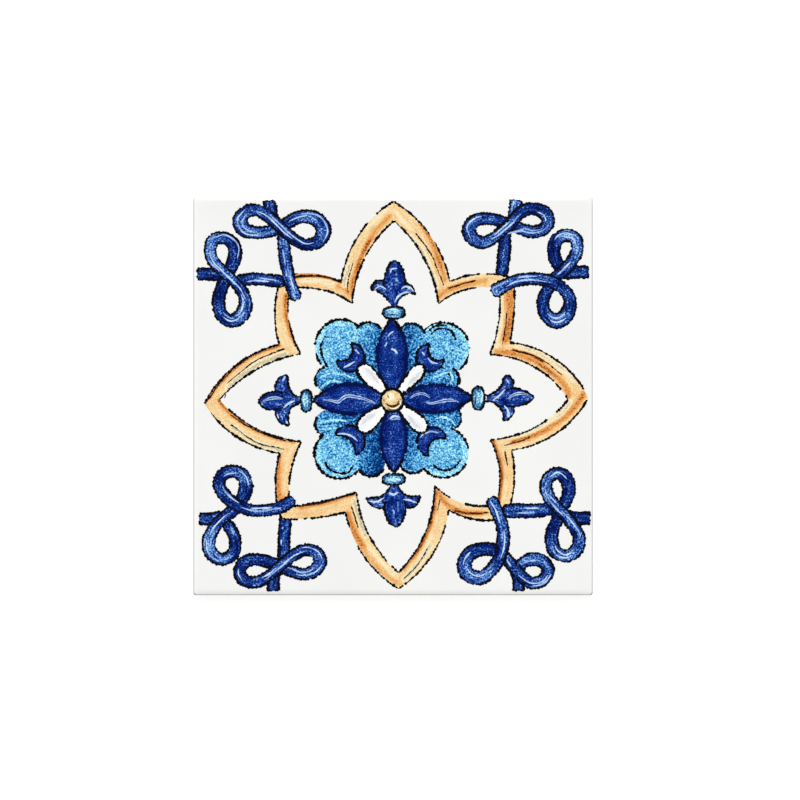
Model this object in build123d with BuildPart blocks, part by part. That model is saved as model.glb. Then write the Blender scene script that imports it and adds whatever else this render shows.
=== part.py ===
"""A square glazed wall tile, pressed from white-burning clay and fired as one piece.

The tile lies on its back with its glazed face up. The origin is the centre of the plane
that the back bears on, +Z points out of the glazed face, and sizes are in millimetres.
"""

import os
from math import atan2, degrees

from build123d import *

# Body
tile_side = 200.0
tile_thickness = 7.0
corner_radius = 1.0

# Glazed face: it rolls down to the four sides in a flat arc that ends in a small nose
cushion_width = 3.0
cushion_drop = 0.7
nose_radius = 0.5

# Sides: upright above, drawn in below so that the pressed tile leaves its mould
relief_height = 2.2
relief_inset = 0.6

# Back: a bearing rim and a lattice of ribs, with shallow key pockets for the adhesive
rim_width = 7.0
rib_width = 3.0
pockets_per_side = 6
pocket_depth = 0.9
pocket_wall_run = 0.6
pocket_corner_radius = 2.0

# Derived sizes
half_side = tile_side / 2
side_top = tile_thickness - cushion_drop
back_side = tile_side - 2 * relief_inset
field_side = back_side - 2 * rim_width
pocket_side = (field_side - (pockets_per_side - 1) * rib_width) / pockets_per_side
pocket_pitch = pocket_side + rib_width
relief_angle = degrees(atan2(relief_inset, relief_height))
pocket_wall_angle = degrees(atan2(pocket_wall_run, pocket_depth))

with BuildPart() as tile:
    # Pressed block: the upright upper part, then the part drawn in towards the back
    with BuildSketch(Plane.XY.offset(relief_height)):
        RectangleRounded(tile_side, tile_side, corner_radius)
    extrude(amount=tile_thickness - relief_height)
    with BuildSketch(Plane.XY.offset(relief_height)):
        RectangleRounded(tile_side, tile_side, corner_radius)
    extrude(amount=relief_height, dir=(0, 0, -1), taper=relief_angle)

    # Cushioned face: the block is trimmed by the same section across and along it
    for plane in (Plane.XZ, Plane.YZ):
        with BuildSketch(plane) as section:
            with BuildLine():
                flat_end = (half_side - cushion_width, tile_thickness)
                Line((0, tile_thickness), flat_end)
                TangentArc(flat_end, (half_side, side_top), tangent=(1, 0))
                Polyline((half_side, side_top), (half_side, 0), (0, 0))
                mirror(about=Plane.YZ)
            make_face()
            fillet(section.vertices().group_by(Axis.Y)[1], nose_radius)
        extrude(amount=half_side, both=True, mode=Mode.INTERSECT)

    # Key pockets: sloping walls all round, so the ribs between them widen upwards
    with BuildSketch(Plane.XY):
        with GridLocations(pocket_pitch, pocket_pitch, pockets_per_side, pockets_per_side):
            RectangleRounded(pocket_side, pocket_side, pocket_corner_radius)
    extrude(amount=pocket_depth, taper=pocket_wall_angle, mode=Mode.SUBTRACT)

os.makedirs("parts", exist_ok=True)
tile.part.label = "tile"
export_step(tile.part, "parts/tile.step")
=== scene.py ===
"""A square wall tile of glazed earthenware, painted with a majolica ornament in blue and ochre.

The tile lies on its back on a pale floor and the camera looks straight down on its face. The CAD
model gives the size and place, and lengths below are in millimetres unless they say otherwise.
"""

import bmesh
import bpy
import numpy as np
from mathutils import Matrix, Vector


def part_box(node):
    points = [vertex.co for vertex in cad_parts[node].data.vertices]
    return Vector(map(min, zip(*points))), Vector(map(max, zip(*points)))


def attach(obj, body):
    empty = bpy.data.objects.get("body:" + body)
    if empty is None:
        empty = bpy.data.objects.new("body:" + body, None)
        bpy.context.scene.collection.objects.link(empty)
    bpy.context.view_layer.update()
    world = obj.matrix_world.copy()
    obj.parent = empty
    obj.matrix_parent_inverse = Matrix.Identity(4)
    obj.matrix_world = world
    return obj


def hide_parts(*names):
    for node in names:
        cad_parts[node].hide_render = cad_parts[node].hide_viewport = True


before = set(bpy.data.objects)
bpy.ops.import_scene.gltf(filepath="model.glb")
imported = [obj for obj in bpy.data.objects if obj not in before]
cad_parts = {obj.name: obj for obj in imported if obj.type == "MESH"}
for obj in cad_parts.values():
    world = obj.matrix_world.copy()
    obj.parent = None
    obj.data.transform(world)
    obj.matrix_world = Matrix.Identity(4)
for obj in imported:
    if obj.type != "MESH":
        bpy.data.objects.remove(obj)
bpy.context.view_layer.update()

# The tile: one slab of white-burning clay, pressed, fired, glazed white and fired again.
# Its face rolls down to the four sides in a flat arc with a small nose, the glaze stops part of
# the way down the sides, and the bare back has ribs round shallow pockets for the adhesive.
metre = 0.001
half_side, _, tile_top = Vector(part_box("tile")[1]) / metre
enamel_room = 0.07
face_z = tile_top - enamel_room
cushion_width, cushion_drop, nose_radius = 3.0, 0.7, 0.5
corner_radius, corner_opening = 1.0, 0.8
relief_height, relief_inset, foot_round = 2.2, 0.6, 0.25
glaze_end, glaze_thickness = 3.3, 0.12
rim_width, rib_width, pocket_depth, pocket_run = 7.0, 3.0, 0.9, 0.6
pocket_corner, pockets_per_side = 2.0, 6
glaze_ripple, lowest_glaze = 0.012, 0.03
# How finely each stretch of the profile is cut, from the face down, and the sides for each pocket.
flat_rings, arc_rings, nose_rings, side_rings, relief_rings, cell_points = 34, 10, 7, 20, 6, 10
middle_half, edge_gap = 0.4, 2.5


def tint(red, green, blue):
    """A paint colour from its 0 to 255 display values, as the linear colour that a material takes."""
    share = np.array([red, green, blue]) / 255
    linear = np.where(share <= 0.04045, share / 12.92, ((share + 0.055) / 1.055) ** 2.4)
    return (*(float(value) for value in linear), 1.0)


def ease(value, start, end):
    """Nought up to start, one from end on, and between them three t squared less two t cubed."""
    t = np.clip((value - start) / (end - start), 0, 1)
    return t * t * (3 - 2 * t)


def square_rings(half, radius, height, per_side, per_corner=4):
    """Rounded squares, one for each row of the profile (half side, corner radius, height).

    Each corner is a quarter circle about a point that lies one radius inside both sides, and each
    side is cut evenly between two corners, so every ring has the same number of points.
    """
    half, radius, height = (np.asarray(column, float)[:, None] for column in (half, radius, height))
    quarters = []
    for quarter in range(4):
        angle = np.radians(90 * quarter + np.linspace(0, 90, per_corner + 1))
        turn = np.radians(90 * quarter + 45)
        centre = (half - radius) * np.sqrt(2)
        x = centre * np.cos(turn) + radius * np.cos(angle)
        y = centre * np.sin(turn) + radius * np.sin(angle)
        share = np.linspace(0, 1, per_side + 1)[1:-1]
        next_turn, start = turn + np.pi / 2, angle[-1]
        next_x = centre * np.cos(next_turn) + radius * np.cos(start)
        next_y = centre * np.sin(next_turn) + radius * np.sin(start)
        x = np.hstack([x, x[:, -1:] + (next_x - x[:, -1:]) * share])
        y = np.hstack([y, y[:, -1:] + (next_y - y[:, -1:]) * share])
        quarters.append(np.stack([x, y, np.broadcast_to(height, x.shape)], axis=-1))
    return np.concatenate(quarters, axis=1)


def skin(rings, paint=0.0, looped=False, caps=(True, True)):
    """Points, faces and paint values of a skin over rings, where rings[i, j] is point j of ring i.

    Point j of one ring is joined to point j of the next and every ring closes on itself. The two
    end rings get a cap each, or a looped skin joins them.
    """
    rows, columns = rings.shape[:2]
    index = np.arange(rows * columns).reshape(rows, columns)
    after = np.roll(index, -1, axis=0) if looped else index[1:]
    here = index if looped else index[:-1]
    quads = np.stack([here, np.roll(here, -1, axis=1), np.roll(after, -1, axis=1), after], axis=-1)
    ends = [] if looped else [end for end, wanted in zip((index[0], index[-1]), caps) if wanted]
    values = np.broadcast_to(paint, (rows, columns, 3)).reshape(-1, 3)
    return rings.reshape(-1, 3), quads.reshape(-1, 4), ends, values


def add_piece(name, skins, material, weld=False, sharp=40):
    """One finished object from skins: their arrays are joined, written at one go and turned outwards.

    The paint values stay on its points as three numbers that its material reads.
    """
    counts = np.cumsum([0] + [len(points) for points, *_ in skins])
    faces = [face + start for (_, quads, _, _), start in zip(skins, counts) for face in quads]
    caps = [face + start for (_, _, ends, _), start in zip(skins, counts) for face in ends]
    sizes = np.array([len(face) for face in faces + caps])
    mesh = bpy.data.meshes.new(name)
    mesh.vertices.add(int(counts[-1]))
    mesh.vertices.foreach_set("co", (np.concatenate([s[0] for s in skins]) * metre).ravel())
    mesh.loops.add(int(sizes.sum()))
    mesh.loops.foreach_set("vertex_index", np.concatenate(faces + caps).astype(np.int32))
    mesh.polygons.add(len(sizes))
    mesh.polygons.foreach_set("loop_start", (np.cumsum(sizes) - sizes).astype(np.int32))
    mesh.polygons.foreach_set("loop_total", sizes.astype(np.int32))
    mesh.update(calc_edges=True)
    paint = mesh.attributes.new("paint", "FLOAT_VECTOR", "POINT")
    paint.data.foreach_set("vector", np.concatenate([s[3] for s in skins]).astype(np.float32).ravel())
    shape = bmesh.new()
    shape.from_mesh(mesh)
    if weld:
        bmesh.ops.remove_doubles(shape, verts=shape.verts, dist=0.002 * metre)
    bmesh.ops.recalc_face_normals(shape, faces=shape.faces)
    shape.to_mesh(mesh)
    shape.free()
    mesh.polygons.foreach_set("use_smooth", np.ones(len(mesh.polygons), bool))
    mesh.set_sharp_from_angle(angle=np.radians(sharp))
    mesh.materials.append(material)
    piece = bpy.data.objects.new(name, mesh)
    bpy.context.scene.collection.objects.link(piece)
    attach(piece, "root")
    return piece


class Wire:
    """The output of a shader node. Arithmetic on wires and numbers adds the Math nodes for it."""

    def __init__(self, tree, socket=None):
        self.tree, self.socket = tree, socket

    def node(self, kind, settings=None, sockets=None, output=0):
        """Adds a node: settings come first, then the values or wires of its sockets."""
        made = self.tree.nodes.new(kind)
        for key, value in (settings or {}).items():
            if key == "stops":
                ramp = made.color_ramp.elements
                for place, colour in value[1:-1]:
                    ramp.new(place).color = colour
                ramp[0].position, ramp[0].color = value[0]
                ramp[-1].position, ramp[-1].color = value[-1]
            else:
                setattr(made, key, value)
        for key, value in (sockets or {}).items():
            if isinstance(value, Wire):
                self.tree.links.new(value.socket, made.inputs[key])
            else:
                made.inputs[key].default_value = value
        return Wire(self.tree, made.outputs[output])

    def math(self, operation, *others):
        """A Math node whose first value is this wire."""
        sockets = dict(enumerate((self, *others)))
        return self.node("ShaderNodeMath", {"operation": operation}, sockets)

    def __add__(self, other):
        return self.math("ADD", other)

    def __sub__(self, other):
        return self.math("SUBTRACT", other)

    def __rsub__(self, other):
        return (self * -1.0).math("ADD", other)

    def __mul__(self, other):
        return self.math("MULTIPLY", other)

    __radd__, __rmul__ = __add__, __mul__

    def ease(self, start, end):
        """This value turned smoothly from nought at start to one at end."""
        sockets = {"Value": self, "From Min": start, "From Max": end}
        return self.node("ShaderNodeMapRange", {"interpolation_type": "SMOOTHSTEP"}, sockets)

    def blend(self, first, second):
        """A colour that goes from first to second as this value goes from nought to one."""
        return self.node("ShaderNodeMix", {"data_type": "RGBA"}, {0: self, 6: first, 7: second}, 2)

    def ramp(self, stops):
        """The colour at this value on a ramp of stops, each a place and a display colour."""
        stops = [(place, tint(*colour)) for place, colour in stops]
        return self.node("ShaderNodeValToRGB", {"stops": stops}, {"Fac": self})

    def grain(self, grains_per_metre, detail=2.0, rough=0.5):
        """Soft noise about one half on this wire's coordinates."""
        sockets = {"Vector": self, "Scale": grains_per_metre, "Detail": detail, "Roughness": rough}
        return self.node("ShaderNodeTexNoise", None, sockets)


def connect(wire, socket):
    """Feeds a shader's socket from a wire."""
    wire.tree.links.new(wire.socket, socket)


def parts_of(wire):
    """The three numbers of a vector, each as a wire of its own."""
    split = wire.node("ShaderNodeSeparateXYZ", None, {0: wire})
    return [Wire(wire.tree, socket) for socket in split.socket.node.outputs]


def new_material(name):
    """A material and its shader's sockets, the object coordinates and the three paint values."""
    material = bpy.data.materials.new(name)
    material.use_nodes = True
    start = Wire(material.node_tree)
    where = start.node("ShaderNodeTexCoord", output="Object")
    painted = start.node("ShaderNodeAttribute", {"attribute_name": "paint"}, output="Vector")
    return material, material.node_tree.nodes["Principled BSDF"].inputs, where, parts_of(painted)


def bumped(height, strength, distance, shader):
    """Tilts a shader's surface by a height that is worked out for each point."""
    sockets = {"Strength": strength, "Distance": distance, "Height": height}
    connect(height.node("ShaderNodeBump", None, sockets), shader["Normal"])


def body_profile():
    """Half side, corner radius and height of the body's rings, and how far over the nose each lies.

    The rings run from the middle of the face outwards and down to the foot. The cushion is an
    arc that starts level at the flat face and would reach the side one drop lower. The nose is a
    small circle that touches both that arc and the upright side.
    """
    sweep_radius = (cushion_width**2 + cushion_drop**2) / (2 * cushion_drop)
    flat_half = half_side - cushion_width
    nose_x = half_side - nose_radius
    nose_rise = np.sqrt((sweep_radius - nose_radius) ** 2 - (nose_x - flat_half) ** 2)
    nose_z = face_z - sweep_radius + nose_rise
    join = np.arctan2(nose_x - flat_half, nose_rise)
    flat = np.append(np.linspace(middle_half, flat_half - edge_gap, flat_rings), flat_half)
    arc = np.linspace(0, join, arc_rings)[1:]
    nose = np.linspace(join, np.pi / 2, nose_rings)[1:]
    side_z = np.linspace(nose_z, relief_height, side_rings)[1:]
    relief = np.linspace(0, 1, relief_rings)[1:]
    half = np.concatenate([
        flat,
        flat_half + sweep_radius * np.sin(arc),
        nose_x + nose_radius * np.sin(nose),
        np.full(len(side_z), half_side),
        half_side - relief_inset * relief,
        [half_side - relief_inset - foot_round],
    ])
    height = np.concatenate([
        np.full(len(flat), face_z),
        face_z - sweep_radius * (1 - np.cos(arc)),
        nose_z + nose_radius * np.cos(nose),
        side_z,
        relief_height + (foot_round - relief_height) * relief,
        [0.0],
    ])
    inset = half_side - half
    radius = np.minimum(corner_radius + corner_opening * np.minimum(inset, cushion_width), half * 0.6)
    radius[-(len(relief) + 1):] = corner_radius
    arc_end = len(flat) + len(arc)
    over_nose = np.interp(np.arange(len(half)), arc_end + np.array([-2, 0, 2, 5]), (0, 1, 1, 0))
    return half, radius, height, over_nose


def ripple(x, y):
    """The glaze's lazy waves: four sine waves that cross the face in different directions."""
    waves = ((0.061, 0.018, 0.4), (-0.024, 0.083, 1.9), (0.105, -0.071, 3.1), (0.013, 0.141, 5.0))
    total = sum(np.sin(a * x + b * y + c) for a, b, c in waves)
    return glaze_ripple * total / len(waves)


half, radius, height, over_nose = body_profile()
per_side = cell_points * pockets_per_side
body = square_rings(half, radius, height, per_side)
around = np.linspace(0, 2 * np.pi, body.shape[1], endpoint=False)
# The line where the glaze ends: the rise, number and lead of the waves that go round it.
glaze_waves = ((0.35, 5, 1), (0.25, 13, 0), (0.12, 37, 0))
line_z = glaze_end + sum(rise * np.sin(count * around + lead) for rise, count, lead in glaze_waves)
glazed = ease(body[..., 2], line_z - 0.22, line_z + 0.1)
body[..., :2] *= (1 - (1 - glazed) * glaze_thickness / half_side)[..., None]
face_share = ease(half_side - half, cushion_width * 0.5, cushion_width * 2)[:, None]
body[..., 2] += ripple(body[..., 0], body[..., 1]) * face_share * (body[..., 2] > glaze_end)
cell_pitch = (2 * (half_side - relief_inset - rim_width) + rib_width) / pockets_per_side
field_half = cell_pitch * pockets_per_side / 2
rim = square_rings([field_half], [0.0], [0.0], per_side)
# Painted shade: the nose is painted grey on the left, right and lower sides. Along the top side, which
# faces the light, it gets only a tenth as much.
light_facing_side = ease(body[..., 1], half_side - 2.5, half_side - 0.4)
painted_nose_shade = over_nose[:, None] * (1 - 0.9 * light_facing_side)
body_paint = np.stack([glazed, painted_nose_shade, 0 * glazed], -1)
body_paint = np.concatenate([body_paint, np.zeros((1, body.shape[1], 3))])
body_skin = skin(np.concatenate([body, rim]), body_paint, caps=(True, False))
pocket_half = (cell_pitch - rib_width) / 2
floor_half = pocket_half - pocket_run
# A pocket's rings, from the middle of the ribs round it to its own: half side, corner, height.
pocket = square_rings(
    [cell_pitch / 2, pocket_half + 0.15, pocket_half - 0.05, floor_half + 0.08, floor_half - 0.1,
     floor_half * 0.7, floor_half * 0.35, 0.4],
    [0.0, pocket_corner, pocket_corner, pocket_corner - 0.4, pocket_corner - 0.5, 3.0, 2.0, 0.2],
    [0.0, 0.0, 0.08, pocket_depth - 0.06, pocket_depth, pocket_depth, pocket_depth, pocket_depth],
    cell_points,
)
steps = (np.arange(pockets_per_side) - (pockets_per_side - 1) / 2) * cell_pitch
pocket_skins = [skin(pocket + (x, y, 0), caps=(False, True)) for x in steps for y in steps]

white_glaze, shader, where, (glaze_mask, nose_shade_mask, _) = new_material("white_glaze_on_clay")
clouding = where.grain(22, 3.0)
thin_edge = glaze_mask.ease(0.15, 0.95)
flat_tone = clouding.ramp([(0.3, (243, 244, 242)), (0.55, (246, 246, 244)), (0.8, (248, 248, 245))])
# Painted shade: over the nose the glaze colour turns to a mid grey, standing in for the shade on the
# rounded edge away from the light.
glaze_and_nose_shade = nose_shade_mask.ease(0.0, 0.8).blend(flat_tone, tint(152, 151, 149))
clay_grain = where.grain(2600, 3.0, 0.7)
clay_patch = where.grain(60, 4.0)
clay_tone = (clay_grain * 0.35 + clay_patch * 0.75).ramp(
    [(0.3, (203, 188, 164)), (0.55, (222, 210, 189)), (0.8, (233, 224, 207))])
connect(thin_edge.blend(clay_tone, glaze_and_nose_shade), shader["Base Color"])
connect(thin_edge * -0.72 + 0.84 + clouding * 0.04, shader["Roughness"])
bumped(where.grain(380, 2.0) * thin_edge * 0.03 + clay_grain * (1 - thin_edge), 0.35, 0.00012, shader)
tile = add_piece("tile_body", [body_skin, *pocket_skins], white_glaze, weld=True, sharp=32)
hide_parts("tile")

# The star: a band of thinned ochre laid with a flat brush, eight bowed strokes that meet in
# four long points and eight short arms that close it at the corners. Orange is drawn along one
# side of each stroke, and a pen line in black-brown follows both edges.
band_level, pen_rise, accent_rise = 0.015, 0.016, 0.024
columns_across, band_columns = 11, 19
chance = np.random.default_rng(11)
# The pen: the shortest and longest dash and gap, the shortest dash worth drawing, the rest of a
# line that a dash takes along, and the length over which its ends narrow.
dash, gap, least_dash, last_bit, narrowing = (22, 70), (0.2, 0.7), 0.6, 3, 0.5
# Where the pen was lifted or ran dry: x, y and how far around it the line is missing.
pen_lifts = [
    (-10, 88, 2.9), (19.5, 78.5, 1.8), (45.2, 61, 1.4), (45.5, 54.3, 3.6), (97, 0.6, 2.5),
    (85.8, 1.8, 1.5), (79.5, -10.3, 2.4), (32.5, -52.3, 3.6), (26.4, -62, 2.1), (-19.8, -70.6, 4.9),
    (-1.9, -84.2, 1.3), (-46, -61.8, 1.1), (-42, -61.4, 0.5), (-52.2, -46.2, 1.3), (-93, -6.6, 2.4),
    (-84, -4.2, 2.6), (-52.3, 39.5, 1.5), (-46.5, 61, 1), (-43, 61.9, 2), (-39, 61.8, 1.9),
    (-35, 61.2, 1.8), (-31.5, 60.2, 1.8), (-28.4, 59, 1.1), (-38.9, 23.2, 1.8), (38.3, 25.8, 1.6),
    (38.4, 22.3, 1.2), (37.8, -30.6, 3.4),
]


def distances(line):
    """Distance along the line from its first point to each point."""
    return np.append(0, np.cumsum(np.linalg.norm(np.diff(line[:, :2], axis=0), axis=1)))


def columns_at(places, known, line):
    """Every column of the line, in proportion between its known places."""
    return np.stack([np.interp(places, known, column) for column in line.T], axis=-1)


def recut(line, count):
    """The line with this many points, evenly by the number of its old ones."""
    return columns_at(np.linspace(0, 1, count), np.linspace(0, 1, len(line)), line)


def even_steps(line, step, looped=False):
    """The line cut into even steps, with any further columns carried along."""
    if looped:
        line = np.vstack([line, line[:1]])
    length = distances(line)
    count = max(int(round(length[-1] / step)), 3)
    even = np.linspace(0, length[-1], count + 1)[: count if looped else None]
    return columns_at(even, length, line)


def smooth_path(points, step=0.5, looped=False):
    """A curve through the points in even steps, with any further columns carried along.

    Each span is a cubic. Its slope at a point is that of the parabola through this point and its
    two neighbours, measured along the straight lines between them.
    """
    points = np.asarray(points, float)
    before = points[-1:] if looped else 2 * points[:1] - points[1:2]
    after = points[:2] if looped else 2 * points[-1:] - points[-2:-1]
    padded = np.vstack([before, points, after])
    gap = np.linalg.norm(np.diff(padded[:, :2], axis=0), axis=1)[:, None]
    rate = np.diff(padded, axis=0) / gap
    slope = (rate[:-1] * gap[1:] + rate[1:] * gap[:-1]) / (gap[1:] + gap[:-1])
    spans = len(slope) - 1
    t = np.linspace(0, 1, 24, endpoint=False)[None, :, None]
    first, last, reach = padded[1:1 + spans, None], padded[2:2 + spans, None], gap[1:1 + spans, None]
    curve = (
        (2 * t**3 - 3 * t**2 + 1) * first + (3 * t**2 - 2 * t**3) * last
        + (t**3 - 2 * t**2 + t) * reach * slope[:-1, None] + (t**3 - t**2) * reach * slope[1:, None]
    ).reshape(-1, points.shape[1])
    return even_steps(curve if looped else np.vstack([curve, points[-1:]]), step, looped)


def bowed(first, last, bow, step=0.6):
    """The circular arc from first to last whose middle stands the bow to the left of the chord."""
    first, last = np.array(first, float), np.array(last, float)
    chord = last - first
    length = np.linalg.norm(chord)
    radius = (length**2 / 4 + bow**2) / (2 * bow)
    half_turn = 2 * np.arctan2(2 * bow, length)
    count = max(int(abs(2 * half_turn * radius) / step), 6)
    angle = np.linspace(-half_turn, half_turn, count)[:, None]
    ahead = chord / length
    left = np.array([-ahead[1], ahead[0]])
    middle = first + chord / 2
    return middle + ahead * radius * np.sin(angle) + left * (radius * np.cos(angle) - radius + bow)


def left_of(line, looped=False):
    """Unit vectors a quarter turn to the left of the line's direction."""
    xy = line[:, :2]
    ahead = np.roll(xy, -1, axis=0) - np.roll(xy, 1, axis=0) if looped else np.gradient(xy, axis=0)
    ahead = ahead / np.linalg.norm(ahead, axis=1, keepdims=True)
    return np.column_stack([-ahead[:, 1], ahead[:, 0]])


def wander(distance, spacing, size):
    """A smooth random value along a line: random knots this far apart, eased from one to the next."""
    knots = chance.uniform(-size, size, int(distance[-1] / spacing) + 3)
    place = distance / spacing
    whole = place.astype(int)
    share = ease(place - whole, 0, 1)
    return knots[whole] * (1 - share) + knots[whole + 1] * share


def crowded(count):
    """Places across a stroke from -1 to 1, the sines of even angles, so closest at the edges."""
    return np.sin(np.linspace(-np.pi / 2, np.pi / 2, count))


def stroke(left, right, level, tone=0.5, dome=0.02, columns=columns_across, looped=False):
    """The skin of one painted stroke that lies between its left and its right edge.

    The top stands over its level by a dome that falls off with the fourth power of the way out
    and with the width, and the walls run down into the glaze, so that the stroke is closed. Its
    paint values are the distance along it, the place across it and its tone.
    """
    across = crowded(columns)
    share = (across[None, :, None] + 1) / 2
    flat = left[:, None, :2] * (1 - share) + right[:, None, :2] * share
    width = np.linalg.norm(left[:, :2] - right[:, :2], axis=1)
    swell = dome * np.minimum(width / 3, 1)[:, None] * (1 - across**4)
    top = np.dstack([flat, face_z + np.broadcast_to(level, len(left))[:, None] + swell])
    foot = top[:, [-1, 0]]
    foot[..., 2] = face_z - lowest_glaze
    rings = np.concatenate([top, foot], axis=1)
    across = np.append(across, [1, -1])
    along = np.broadcast_to(distances((left + right)[:, :2] / 2)[:, None], rings.shape[:2])
    tone = np.asarray(tone, float)
    if tone.ndim == 2:
        tone = np.hstack([tone, tone[:, [-1, 0]]])
    if tone.ndim == 1:
        tone = tone[:, None]
    paint = np.stack(np.broadcast_arrays(along, across, tone), axis=-1)
    return skin(rings, paint, looped=looped)


def both_sides(middle, reach):
    """The two edges that lie one reach to the left and to the right of a middle line."""
    return middle + reach, middle - reach


def pen_strokes(lines, half_width, ragged=0.62):
    """Skins of pen lines (x, y, level): broken into dashes, with a wandering, ragged edge.

    The half width changes by the ragged share every half millimetre and by less every four, and
    a dash narrows to a point at both ends. The pen is off the face at the lifts.
    """
    skins = []
    for line in lines:
        fine = even_steps(line, 0.33)
        along, left = distances(fine), left_of(fine)
        sway = wander(along, 0.8, 0.16) + wander(along, 5, 0.1)
        middle = fine[:, :2] + sway[:, None] * left
        half = half_width * (1 + wander(along, 0.55, ragged) + wander(along, 4, 0.25))
        down = np.ones(len(fine), bool)
        for x, y, reach in pen_lifts:
            down &= np.hypot(fine[:, 0] - x, fine[:, 1] - y) > reach
        place = 0.0
        while place < along[-1] - least_dash:
            end = min(place + chance.uniform(*dash), along[-1])
            if along[-1] - end < last_bit:
                end = along[-1]
            drawn = np.flatnonzero((along >= place) & (along <= end) & down)
            for part in np.split(drawn, np.flatnonzero(np.diff(drawn) > 1) + 1):
                if len(part) < 3:
                    continue
                distance = along[part]
                from_end = np.minimum(distance - distance[0], distance[-1] - distance)
                taper = np.sqrt(np.clip(from_end / narrowing, 0.1, 1))
                edges = both_sides(middle[part], (half[part] * taper)[:, None] * left[part])
                skins.append(stroke(*edges, fine[part, 2], dome=0.006, columns=4))
            place = end + chance.uniform(*gap)
    return skins


def inked(lines, level, rise=pen_rise):
    """The pen's way along the lines: x, y and the pen's rise over their level."""
    return [np.column_stack([line[:, :2], np.broadcast_to(level + rise, len(line))]) for line in lines]


def enamel(name, stops, streaks=0.4, blots=0.3, speckle=0.3, rough=0.13, grains=1300):
    """A fired colour: its tone along a ramp, with brush streaks, blots and a fine speckle in it.

    The streaks are noise drawn out along the stroke, and the gloss has a faint orange-peel skin.
    """
    material, shader, where, (along, across, tone) = new_material(name)
    drawn = where.node("ShaderNodeCombineXYZ", None, {0: along * 0.16, 1: across * 2.4, 2: tone * 2.0})
    light = (
        tone + (drawn.grain(1.0, 3.0, 0.6) - 0.5) * streaks + (where.grain(160, 3.0) - 0.5) * blots
        + (where.grain(grains, 1.0, 0.4) - 0.5) * speckle
    )
    connect(light.ramp(stops), shader["Base Color"])
    connect(where.grain(150, 2.0) * 0.08 + rough, shader["Roughness"])
    bumped(where.grain(900, 2.0), 0.2, 0.00006, shader)
    return material


# Corners of the star, clockwise from the top point: outer corner, inner corner, the bow of the
# outer and of the inner edge on the way to the next corner.
star = [
    (0.3, 97.2, 0.4, 87.4, 5.2, 4.5), (28.4, 57.1, 22.7, 46.0, 3.0, 3.6),
    (60.3, 58.8, 53.0, 53.5, 1.3, 2.1), (58.4, 26.5, 48.5, 20.5, 6.4, 5.8),
    (97.7, -1.2, 87.7, -2.1, 5.6, 4.7), (59.4, -27.3, 48.7, -22.2, 2.6, 3.4),
    (56.5, -61.0, 51.5, -54.5, 3.1, 4.3), (27.9, -57.2, 20.8, -45.0, 5.2, 4.8),
    (2.7, -96.6, 2.7, -88.6, 5.1, 4.4), (-23.6, -58.4, -18.3, -48.4, 1.2, 1.0),
    (-56.0, -61.8, -51.5, -55.5, 2.4, 2.6), (-56.7, -28.8, -46.0, -23.0, 5.0, 4.6),
    (-94.3, -4.2, -86.9, -2.0, 5.4, 4.0), (-56.9, 25.5, -46.2, 20.9, 2.7, 3.2),
    (-56.0, 59.0, -51.5, 53.5, 3.1, 3.2), (-25.8, 57.2, -20.4, 46.0, 5.4, 4.8),
]
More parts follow.
